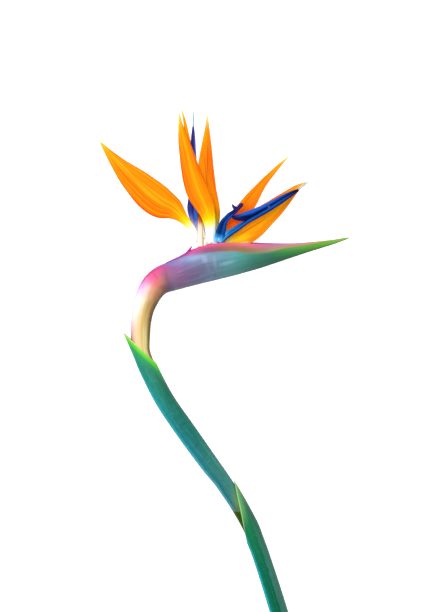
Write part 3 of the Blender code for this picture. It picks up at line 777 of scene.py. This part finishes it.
# How wide the pink rim and the fold under it are together, as a share of the way round.
RIM_REACH = [
    (0, 0.05), (0.1, 0.12), (0.15, 0.24), (0.2, 0.31), (0.27, 0.34), (0.39, 0.365), (0.46, 0.42),
    (0.525, 0.45), (0.59, 0.42), (0.66, 0.37), (0.75, 0.35), (0.83, 0.33), (0.9, 0.22), (0.96, 0.1),
]
RIM = (
    "0 B858A8 .1 C455A8 .17 E8509C .24 F4589C .3 F06088 .36 EC6C74 .44 F47C88 .5 EC7090 .58 D078A4 "
    ".66 D890A4 .74 E09CAC .8 E0A890 .85 D0B060 .9 98C048 1 B8D880"
)
UNDER_RIM = (
    "0 A05CA0 .1 B060A8 .17 C870B0 .24 A0587C .3 986068 .36 A07058 .44 98744C .52 9C806C "
    ".58 B08C78 .64 B89070 .72 C08C74 .8 C89868 .86 A8AC4C 1 A0D060"
)
# The body darkens towards the spathe's lower side, partly painted shade.
BODY = {
    0.22: "0 A064AC .06 A078BC .11 98A4D8 .17 8C9CCC .24 8494B8 .3 789CB4 .38 60A0A8 .46 489880 "
        ".53 3C8C60 .62 4A9848 .72 64A844 .84 68AC38 1 98C850",
    0.42: "0 945E98 .06 8C6092 .11 826898 .17 7A7CA4 .24 7488A4 .3 6C9CB0 .38 58A0A4 .46 3E8E74 "
        ".53 36805C .62 409046 .72 5CA23C .84 60A434 1 90C04C",
    0.58: "0 8A5A7C .06 845A84 .13 745E86 .2 6A6C8C .27 607A90 .34 5A9298 .42 448C80 .49 387A64 "
        ".57 317556 .66 3A8444 .8 5A9C38 1 88B848",
    0.78: "0 7C5A78 .06 7A6080 .13 70668A .2 687490 .28 60828A .36 548A8A .42 468278 .5 3A7060 "
        ".6 2E644C .7 387440 .82 4C8834 1 80B044",
    1: "0 685468 .08 74708C .2 808CA4 .34 608894 .5 406C64 .62 285444 .76 346838 .88 487C30 "
        "1 78A440",
}


def spathe_finish():
    """Mauve by the stalk, through blue-grey and teal to a green tip, with a pink rim."""
    f = Finish("spathe skin", 0.4, 0.07)
    wander = f.noise((3.0, 7, 1), 3.0)
    along = f.sway(f.along, wander, 0.06)
    depth = f.sway(f.round_from_outside(), f.noise((5, 22, 1), 3.0), 0.035)
    band = f.math("DIVIDE", depth, f.ramp(f.along, RIM_REACH))
    rim = f.ramp(along, RIM)
    under = f.ramp(along, UNDER_RIM)
    body = f.grid(depth, along, BODY)
    f.paint = f.mix(f.step(band, 0.45, 0.80), rim, under)
    f.paint = f.mix(f.step(band, 0.88, 1.10), f.paint, body)
    # Painted highlights: pale blue patches on the upper half of the spathe.
    f.layer("B0CCF0", f.spot(-25, 110.0, 15, 4.2, 15, 0.0), 0.5)
    f.layer("A8D4E4", f.spot(-8.4, 106.5, 2.6, 9.0, 8, 0.0), 0.24)
    f.layer("B0C4EC", f.spot(-17, 109, 4.0, 5.0, 20, 0.0), 0.4)
    f.layer("98C8D0", f.spot(2, 105.5, 11, 2.6, 14, 0.0), 0.45)
    f.layer("5E5888", f.spot(-13.5, 106, 1.3, 6, 8, 0.0), 0.25)
    f.layer("64608C", f.spot(-8.0, 96, 1.6, 7, -6, 0.0), 0.4)
    root = f.line((-50.6, 104.6), (-34.0, 111.9), 0.9)
    f.layer("B83C98", root, f.spot(-41, 108, 10, 5, 24, 0.6), 0.95)
    streaks = f.noise((34, 5, 1), 4.0, 5.0)
    cross = f.noise((1.6, 13, 1), 3.0, 6.0)
    f.layer("3C4464", f.step(streaks, 0.47, 0.34), 0.20)
    f.layer("C4DCE8", f.step(streaks, 0.55, 0.70), f.up(0.5, 0.3), 0.08)
    f.layer("4C5A78", f.step(cross, 0.48, 0.30), f.step(band, 0.9, 1.2), 0.14)
    f.layer("C8DCEC", f.step(cross, 0.53, 0.75), f.step(band, 0.9, 1.2), f.up(0.6, 0.3), 0.10)
    far = f.times(f.step(f.z, 0.0125, 0.0100), f.step(depth, 0.22, 0.12))
    f.layer("944CB4", far, f.up(0.38, 0.46), f.up(0.90, 0.78))
    turned, shoulder = bend_paint(f)
    f.layer(shoulder, f.step(turned, 1.22, 0.98))
    seam_shade(f)
    f.bump(f.math("MULTIPLY_ADD", cross, 0.5, streaks), 0.3, 0.0003)
    return f.done()


def thorn_finish():
    f = Finish("spathe fold", 0.4, 0.07)
    grain = f.noise((20, 5, 1), 3.0)
    f.paint = f.ramp(f.along, "0 A848A8 .35 B8409C .7 C844A4 1 A83490")
    f.layer("9CA4E4", f.step(f.round_from_outside(), 0.42, 0.22), f.up(0.62, 0.45), 0.9)
    f.layer("8C3480", f.step(grain, 0.5, 0.35), 0.5)
    f.bump(grain, 0.3, 0.0002)
    return f.done()


# ---- other paint

def base_finish(name, tint):
    """A floret's white base. The newer one takes a blue tint from its tongue."""
    f = Finish(name, 0.48, 0.12)
    lines = f.noise((26, 2.0, 1), 3.0)
    f.paint = f.ramp(f.along, "0 DDE6B8 1 FFFFF6")
    f.layer("D8E4C4", f.step(lines, 0.5, 0.65), 0.2)
    if tint:
        f.layer("A8E0F6", f.spot(-6.0, 124, 5.0, 7.5), 0.8)
        f.layer(tint, f.spot(-3.6, 124, 4.6, 6, 0, 0.3), 0.95)
    f.bump(lines, 0.4, 0.0003)
    return f.done()


def stigma_finish(name, stops):
    f = Finish(name, 0.5, 0.1)
    lines = f.noise((8, 6, 1), 3.0)
    f.paint = f.ramp(f.along, stops)
    f.layer("8898A8", f.step(lines, 0.5, 0.35), 0.5)
    f.bump(lines, 0.3, 0.0002)
    return f.done()


def floor_finish():
    f = Finish("pale table", 0.9, 0.1)
    grain = f.noise((40, 40, 40), 3.0, 0.0, f.place)
    f.paint = f.mix(grain, (0.96, 0.96, 0.96, 1), WHITE)
    f.shader.inputs["Emission Color"].default_value = WHITE
    f.shader.inputs["Emission Strength"].default_value = 0.65
    return f.done()


def dress(piece, material, node):
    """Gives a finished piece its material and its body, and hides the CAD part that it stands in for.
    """
    piece.data.materials.clear()
    piece.data.materials.append(material)
    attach(piece, "root")
    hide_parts(node)


# ---- sepals

SEPAL_ROWS, SEPAL_COLUMNS = 44, 20
SEPAL_RIB, SEPAL_RIBS = 0.045, 5

# Where the crease of each sepal lies, from -1 to 1 across it, and the rows from foot to tip: x, y and
# height of the midrib, half width and how deep it is cupped, in mm.
SEPALS = {
    "old_floret_left_sepal": (0.15, """
    -20.6 124 12.6 2.3 1
    -27.3 134.6 13.4 2.9 1.6
    -35.4 143.9 13.8 4.4 2.4
    -43.7 151.9 13.7 9.5 4.2
    -54.3 157.2 13.2 13.4 4.6
    -64.2 164.6 12.5 13.7 4.2
    -73.1 172.9 11.4 12.1 3.6
    -82.1 181.3 10 9.7 3
    -90.5 190.1 8.6 6.5 2.2
    -98.4 199.4 7.2 3.5 1.4
    -106.2 209.2 5.6 0.7 0.2
    """),
    "old_floret_front_sepal": (-0.1, """
    -11.9 122.7 14.6 4.7 2
    -12.1 134.2 16.6 4.5 2
    -13.7 145.3 18.2 6 2.6
    -17.5 155.7 19.6 8.6 3.4
    -22.6 166 20.8 9.7 3.4
    -26.5 176.7 21.8 9 3
    -29.6 187.3 22.3 7.6 2.4
    -32.2 198.4 22.3 6.2 2
    -34.7 209.4 22 4.6 1.6
    -36.9 220.4 21.3 2.3 1
    -38.4 232.6 20.4 0.6 0.2
    """),
    "old_floret_rear_sepal": (0, """
    -20.2 119.6 16.9 2.4 0.6
    -20.3 127 16.8 2.4 0.6
    -20.3 134.4 15.4 2.4 0.6
    -20.2 140.4 12.6 2.5 0.4
    -20.2 146 9.2 2.7 -0.2
    -21.4 151.8 6.4 3.4 -0.6
    -22.7 157.3 4.9 4.2 -1
    -25.3 168.6 3.9 4.8 -1
    -27.3 180.1 3.5 4.7 -1
    -28.7 191.3 3.3 3.9 -0.9
    -30.3 202.8 3.4 2.9 -0.8
    -31.9 214.3 3.7 2 -0.6
    -33.8 225.8 4.4 1.3 -0.4
    -36.7 238.2 5.2 0.5 -0.1
    """),
    "new_floret_upright_sepal": (0.1, """
    -11.3 122.7 10.2 3.6 -1
    -10.6 133.8 9.3 4.3 -1.2
    -10.3 144.6 8.2 6.7 -1.8
    -12.2 155.3 7.2 7.9 -2.2
    -14.6 166.1 6.4 8.1 -2.2
    -15.7 177.1 5.9 7.8 -2.2
    -15.9 187.9 5.6 6.7 -2
    -15.6 198.9 5.6 5.4 -1.7
    -15.2 209.9 5.8 3.8 -1.2
    -14.8 220.8 6.4 2 -0.8
    -14.6 232.8 7.4 0.6 -0.1
    """),
    "new_floret_upper_sepal": (0, """
    -2.5 124 8 2.5 -0.6
    1.5 132 6.4 4.8 -1
    7.1 139.4 5 6.4 -1.3
    12.7 146.9 4 7 -1.4
    18.5 154.1 3.4 6.7 -1.4
    23.8 161.7 3.2 5.8 -1.2
    29 169 3.2 4.3 -1
    34.7 176.3 3.5 3.1 -0.8
    41 183.1 4 2.3 -0.6
    47.4 189.9 4.8 1.5 -0.4
    54.7 196.8 5.6 0.6 -0.1
    """),
    "new_floret_lower_sepal": (-0.1, """
    -3.8 123.6 11.2 4 -0.6
    3.1 128.1 10.5 8.8 -1.2
    10.6 131.1 9.8 12.1 -1.8
    18.8 135.2 9.3 12.7 -2
    26.5 140.2 9.1 11.7 -1.9
    34 145.8 8.9 9.8 -1.7
    40.9 151.2 8.8 8.5 -1.5
    47.9 157.3 8.8 6.9 -1.2
    54.6 163.4 8.9 5 -0.9
    61.3 169.4 9.3 3 -0.6
    65.4 172.2 9.7 1.7 -0.4
    69.4 174.6 10 0.6 -0.1
    """),
}


def sepal_section(crease):
    """Height of a sepal's section at -1 to 1 across it: arched, with a crease and fine ribs."""
    def height(u):
        arch = -(abs(u - crease) ** 1.5) / (1 + abs(crease)) ** 1.5
        return arch + SEPAL_RIB * math.cos(u * math.pi * SEPAL_RIBS)
    return height


def make_sepals():
    for name, (crease, plan) in SEPALS.items():
        rows = [(x, y, z, half, half, 0, depth) for x, y, z, half, depth in evenly(plan, SEPAL_ROWS)]
        piece = blade(name + "_petal", rows, SEPAL_COLUMNS, sepal_section(crease), PETAL_WALL)
        dress(piece, sepal_finish(name.replace("_", " "), *SEPAL_PAINT[name]), name)


# ---- tongues, hoods and stigmas

# x, y, height, width to the left, width to the right, sweep of the left edge and depth, in mm.
OLD_TONGUE = """
    -23.4 122.7 10.9 1.6 1.6 0 0.5
    -24.4 132.7 10.6 1.8 1.8 0 0.6
    -25.9 142.5 10.4 3.4 3.3 0 0.8
    -26.9 152.2 10.2 4.9 4.8 0 1
    -26.4 162.1 10.2 4.3 4.2 0 1
    -26.3 172.2 10.3 3.8 3.8 0 1
    -26.4 182 10.5 3.5 3.5 0 0.9
    -26.7 192 10.7 3 3 0 0.8
    -26.8 201.9 11 2.5 2.5 0 0.7
    -26.7 211.9 11.3 1.8 1.8 0 0.6
    -26.6 222.4 11.6 0.7 0.7 0 0.3
"""
NEW_TONGUE = """
    -4.7 124 14.8 2.6 3 0 0.8
    1.3 129.1 15.8 2.6 2.9 0 0.9
    6.7 132.9 16.6 2.2 2.8 0 1
    12.8 136.9 17.3 2 2.6 0 1
    17.9 140.6 17.9 1.4 2.4 0 1
    20 141.9 18.1 4 2.3 7.5 1.1
    22 143.1 18.3 9.4 2.4 13.5 1.5
    25.1 144.9 18.6 8.4 2.5 9.5 1.8
    29.3 147.5 18.8 6.7 2.8 6.6 1.8
    35.3 151.1 19 5 3 4.3 1.6
    42.1 155.5 18.8 3.8 3.1 2.6 1.4
    49.7 160.3 18.4 2.9 2.9 1.3 1.1
    57.4 164.8 17.8 1.9 2 0.4 0.8
    63 167.7 17.2 0.7 0.7 0 0.3
"""
NEW_HOOD = """
    -6.4 124 14.6 3 4.2 0 0.8
    -4.6 129.6 15.6 3.4 5 0 1.3
    -2.8 135.2 16.5 3.3 4.3 0 1.7
    -1.1 140 17.4 2.6 3.2 0 1.7
    1.5 143.2 18.2 2.3 2.7 0 1.5
    4.4 146 18.9 2.4 2.4 0 1.2
    7.4 148.2 19.5 2 2 0 1
    10.4 151 20.1 1.7 1.7 0 0.7
    11.4 152 20.3 0.6 0.6 0 0.3
"""
OLD_HOOD = """
    -15.2 126.2 10.4 1.4 1.4 0 0.6
    -14.8 132 9.6 2.2 2.2 0 1
    -15.3 139 9.6 2.4 2.4 0 1
    -16 147 10.4 1.6 1.6 0 0.8
    -16.6 151 11.4 0.8 0.8 0 0.4
"""
# The newer hood's curled end, a horn to the left and a knob to the right: x, y, z, radius, in mm.
HORN = """
    11 150 20 1.6
    9.2 151.8 20.5 1.7
    7.8 153 20.8 1.5
    7.1 154.2 21 1
    6.6 155.6 21.1 0.3
"""
KNOB = """
    9.6 149.8 20 1.6
    11.6 151.9 20.5 1.6
    13.2 153.7 20.8 1.8
    14.5 155 21 1.7
    15.5 156 21 0.8
"""
CURL_SPAN = (0.84, 1.0)  # the part of the hood's paint, from foot to tip, that its curled end takes
STIGMAS = {
    "old_floret_stigma": ("blue-white stigma", "0 8894B4 .35 A8C4D8 .8 80BCD0 1 98C8D4", """
    -26.6 219.5 11.5 0.9
    -26.5 225 11.9 0.85
    -26.3 230.5 12.2 0.75
    -26.1 236.4 12.5 0.3
    """),
    "new_floret_stigma": ("grey-white stigma", "0 8C94AC .35 D4D4DC .8 B0B4B8 1 C8D0D0", """
    61.4 166.9 17.2 0.9
    65 169.9 17.4 1
    69 173 17.6 0.75
    72.4 175.8 17.7 0.2
    """),
}


def tongue_section(u):
    """Height of a tongue's section: a groove along its middle between two crests."""
    return math.sin(min(abs(u), 1) * math.pi * 0.8) - 0.25 * abs(u)


def make_tongue(name, plan, rows, columns, wall=TONGUE_WALL):
    return blade(name, evenly(plan, rows), columns, tongue_section, wall)


def make_blue_petals():
    violet = blue_finish("violet blue tongue", VIOLET, 4.0, 0.35)
    royal = blue_finish("royal blue tongue", ROYAL, 8.0, 0.5, new_tongue_details)
    navy = blue_finish("navy hood", NAVY, 15.0, 0.5)
    old_arrow = make_tongue("old_floret_arrow", OLD_TONGUE, rows=44, columns=12)
    dress(old_arrow, violet, "old_floret_tongue")
    new_arrow = make_tongue("new_floret_arrow", NEW_TONGUE, rows=90, columns=18)
    dress(new_arrow, royal, "new_floret_tongue")
    curl = make_tongue("new_floret_curl", NEW_HOOD, rows=40, columns=14)
    horn = rod("horn", HORN, 16, 14, CURL_SPAN, 0.8)
    knob = rod("knob", KNOB, 16, 14, CURL_SPAN, 0.8)
    take(curl, horn, knob)
    bpy.ops.object.join()
    dress(curl, navy, "new_floret_hood")
    old_curl = make_tongue("old_floret_curl", OLD_HOOD, rows=24, columns=10, wall=OLD_HOOD_WALL)
    dress(old_curl, navy, "old_floret_hood")


def make_stigmas():
    for name, (finish, stops, plan) in STIGMAS.items():
        piece = rod(name + "_fin", plan, rings=14, sides=12, flat=0.6)
        dress(piece, stigma_finish(finish, stops), name)


# ---- floret bases and stalk

# The finish, its tint, and the rows: x, y, z and radius, in mm.
BASES = {
    "old_floret_base": ("older floret base", None, """
    -30.4 103.9 11.6 2.4
    -26.6 105.1 11.6 2.8
    -21.8 108.4 11.6 3.4
    -18.9 115 11.6 4.2
    -18.2 123.6 11.6 4.6
    -18.3 126.2 11.6 3.4
    -18.4 127.6 11.6 1
    """),
    "new_floret_base": ("newer floret base", "2C8CD4", """
    -28.7 98.2 11.6 2.4
    -21 100.5 11.6 2.8
    -14 103.8 11.6 3.3
    -9.4 110 11.5 3.9
    -7.9 117.6 11.2 4.2
    -7.6 122.6 10.8 3.6
    -7.5 125.2 10.6 2.6
    -7.4 126.8 10.6 0.8
    """),
}
# x, y, z and radius, in mm.
STALK = """
    59.5 -238 8.1 6.8
    45.5 -188.7 7.85 6.6
    32.3 -147.1 7.6 6.2
    26 -130 7.75 5.4
    22.1 -119.9 7.8 5.3
    14.8 -106.3 7.95 5.4
    6.6 -92.7 8.35 5.7
    -2.4 -79.1 8.7 6
    -12.8 -65.5 8.8 6.7
    -32.3 -38.3 8.75 7.2
    -51 -11 8.45 7
    -65 16.2 8.25 6.8
    -70.2 29.8 8.2 6.9
    -71.6 37.5 8.2 8
    -71.6 46 8.3 8.35
    -71.1 56 8.7 8.7
    -69.1 68.2 9.6 9.7
    -63.3 81.5 10.8 10.9
    -57 89.1 11.4 11.6
    -50.4 92.7 11.6 12.3
    -44.5 94.9 11.6 11.9
"""
STALK_RINGS, STALK_SIDES = 96, 36
CUT_Y = -0.2355  # faces below this that look along the stalk are its cut end


def make_bases():
    for name, (finish, tint, plan) in BASES.items():
        piece = rod(name + "_tube", plan, rings=24, sides=24, shape=waves(3, -1, 0.88))
        dress(piece, base_finish(finish, tint), name)


def make_stalk():
    """The stalk has fine ridges, and lies flat where it would reach below the table."""
    rows = [(x, y, z, r, min(r, z - 0.1)) for x, y, z, r in evenly(STALK, STALK_RINGS)]
    piece = tube("stalk_with_neck", rows, STALK_SIDES, "NGON", waves(9, 1, 1.012))
    soften(piece, 50)
    dress(piece, stalk_finish(), "flower_stalk")
    piece.data.materials.append(cut_finish())
    for face in piece.data.polygons:
        if face.center.y < CUT_Y and abs(face.normal.y) > 0.8:
            face.material_index = 1


# ---- sheaths

LEAF_RINGS, LEAF_SIDES = 80, 40
# The finish, the mouth, and the rows: x, y, z and radius, in mm.
SHEATHS = {
    "upper_sheath": (upper_sheath_finish, UPPER_MOUTH, """
    25.2 -128 7.75 6.5
    22.1 -119.9 7.8 6.5
    14.8 -106.3 7.95 6.6
    6.6 -92.7 8.35 7
    -2.4 -79.1 8.7 7.4
    -12.8 -65.5 8.8 8.1
    -32.3 -38.3 8.75 8.6
    -51 -11 8.45 8.35
    -65 16.2 8.25 8.15
    -69.9 28 8.2 8.1
    -74.2 38 8.2 8
    -79.5 49 8.2 7.6
    """),
    "lower_sheath": (lower_sheath_finish, LOWER_MOUTH, """
    59.5 -238 8.1 8
    45.5 -188.7 7.85 7.75
    32.3 -147.1 7.6 7.5
    26 -130 7.75 7.65
    22.1 -119.9 7.8 7.75
    14.8 -106.3 7.95 7.95
    6.6 -92.7 8.35 8.4
    -2.4 -79.1 8.7 8.8
    -9 -70.5 8.8 9
    """),
}


def make_sheaths():
    for name, (finish, mouth, plan) in SHEATHS.items():
        rows = [(x, y, z, r, min(r, z - 0.05)) for x, y, z, r in evenly(plan, LEAF_RINGS)]
        piece = tube(name + "_leaf", rows, LEAF_SIDES)
        cut_mouth(piece, *mouth)
        add_modifier(piece, "SOLIDIFY", thickness=LEAF_WALL * MM, offset=-1)
        soften(piece, 50)
        dress(piece, finish(), name)


# ---- spathe

# x and y of the middle, half height and half width, in mm.
SPATHE = """
    -49.7 92.9 12.4 11.5
    -39 96.8 13.3 11.6
    -28.4 100.9 14.7 11.6
    -17.7 105 16 11.5
    -6.6 107.4 15.7 11.2
    4.8 108.9 14.5 10.6
    16.2 110.3 12.8 9.8
    27.6 111.7 11 8.8
    38.9 113.4 9 7.5
    50.3 115.3 7.1 6
    61.5 117.3 5.4 4.7
    72.6 119.6 4.1 3.6
    83.8 121.9 3 2.5
    94.9 124.3 1.9 1.5
    104.6 127 0.9 0.7
    107.2 127.6 0.05 0.05
"""
SPATHE_HEIGHT = 11.6  # of its middle above the table, in mm
SPATHE_RINGS, SPATHE_SIDES = 60, 32
SLOT_START, SLOT_END = 0.19, 0.97  # as shares of the way along
SLOT_WIDTH = 0.3  # sizes on an unplaced ring, whose radius is 1
SLOT_MARGIN = 0.93
FAR_LIFT, NEAR_LIFT = 0.10, -0.02
KEEL_PINCH = 0.5
# x, y, z and radius of the thorn-shaped fold that runs into the slot's near end, in mm.
FOLD = """
    -50.5 105.6 15 0.3
    -43 108.9 16 0.6
    -37.5 111.2 16.6 0.75
    -33.6 113.1 16.8 0.95
    -30.8 115.6 16.4 1.2
    -29 118 15.6 0.95
    -27.3 121 14.8 0.2
"""


def open_spathe(piece):
    """Pinches the keel of the unplaced rings and opens the slot along their top. The far margin of
    the slot, on the right of the rings, stands a little higher than the near one."""
    rows, where, doomed = levels(piece, 2), places(piece), []
    for k, (height, ring) in enumerate(rows):
        share = k / (len(rows) - 1)
        for i in ring:
            low = max(-where[i].y, 0)
            if low > 0.05:
                pick(piece, [i])
                pinch = KEEL_PINCH * min(1, share * 6) * low**1.6
                bpy.ops.transform.resize(value=(1 - pinch, 1, 1), center_override=(0, 0, height))
        slot = (share - SLOT_START) / (SLOT_END - SLOT_START)
        if not 0 < slot < 1:
            continue
        opening = min(1, 5 * slot) ** 0.8 * (1 - slot) ** 0.8
        for i in [i for i in ring if where[i].y >= SLOT_MARGIN]:
            side = where[i].x
            if abs(side) < 1e-4:
                doomed.append(i)
                continue
            lift = FAR_LIFT * math.sin(math.pi * slot) if side > 0 else NEAR_LIFT
            pick(piece, [i])
            bpy.ops.transform.translate(value=(math.copysign(SLOT_WIDTH * opening, side), lift, 0))
    pick(piece, doomed)
    bpy.ops.mesh.delete(type="VERT")


def make_spathe():
    rows = [(x, y, SPATHE_HEIGHT, high, wide) for x, y, high, wide in evenly(SPATHE, SPATHE_RINGS)]
    beak = tube("beak", rows, SPATHE_SIDES, shape=open_spathe)
    add_modifier(beak, "SOLIDIFY", thickness=SPATHE_WALL * MM, offset=-1, thickness_clamp=1.4)
    soften(beak)
    dress(beak, spathe_finish(), "spathe")
    fold = rod("beak_fold", FOLD, rings=24, sides=12, flat=0.8)
    dress(fold, thorn_finish(), "spathe")


# ---- table, lights and camera

LAMP_PLACE, LAMP_AIM = (-0.4, 0.42, 1.5), (0, 0.05, 0)
CEILING, WALLS = 1.12, 0.58  # how bright the surroundings are overhead and from the sides down
VIEW_CENTRE = (-0.0068, 0.0692, 0.014)
VIEW_HEIGHT = 0.5202
LENS, SENSOR = 100, 36


def make_stage():
    deselect_everything()
    bpy.ops.mesh.primitive_plane_add(size=6, location=(0, 0, -0.0006))
    floor = bpy.context.object
    floor.name = "table_top"
    floor.visible_diffuse = False
    floor.data.materials.append(floor_finish())


def make_lights():
    """A bright ceiling, dimmer walls, and one large soft lamp at the upper left."""
    world = bpy.data.worlds.new("soft studio")
    bpy.context.scene.world = world
    world.use_nodes = True
    nodes, links = world.node_tree.nodes, world.node_tree.links
    way = nodes.new("ShaderNodeTexCoord")
    split = nodes.new("ShaderNodeSeparateXYZ")
    rise = nodes.new("ShaderNodeMapRange")
    for key, value in (("From Min", -0.3), ("To Min", WALLS), ("To Max", CEILING)):
        rise.inputs[key].default_value = value
    links.new(way.outputs["Generated"], split.inputs[0])
    links.new(split.outputs["Z"], rise.inputs["Value"])
    links.new(rise.outputs[0], nodes["Background"].inputs["Strength"])
    nodes["Background"].inputs["Color"].default_value = WHITE
    lamp = bpy.data.lights.new("key", "AREA")
    lamp.shape = "DISK"
    lamp.size = 1.3
    lamp.energy = 17
    holder = bpy.data.objects.new("key", lamp)
    bpy.context.scene.collection.objects.link(holder)
    holder.location = LAMP_PLACE
    holder.rotation_euler = (Vector(LAMP_AIM) - holder.location).to_track_quat("-Z", "Y").to_euler()


def make_camera():
    lens = bpy.data.cameras.new("camera")
    lens.lens, lens.sensor_width = LENS, SENSOR
    eye = bpy.data.objects.new("camera", lens)
    bpy.context.scene.collection.objects.link(eye)
    x, y, z = VIEW_CENTRE
    eye.location = (x, y, z + VIEW_HEIGHT / 2 * LENS / (SENSOR / 2))
    bpy.context.scene.camera = eye
    bpy.context.scene.view_settings.view_transform = "Standard"


make_stalk()
make_sheaths()
make_spathe()
make_bases()
make_sepals()
make_blue_petals()
make_stigmas()
make_stage()
make_lights()
make_camera()
deselect_everything()
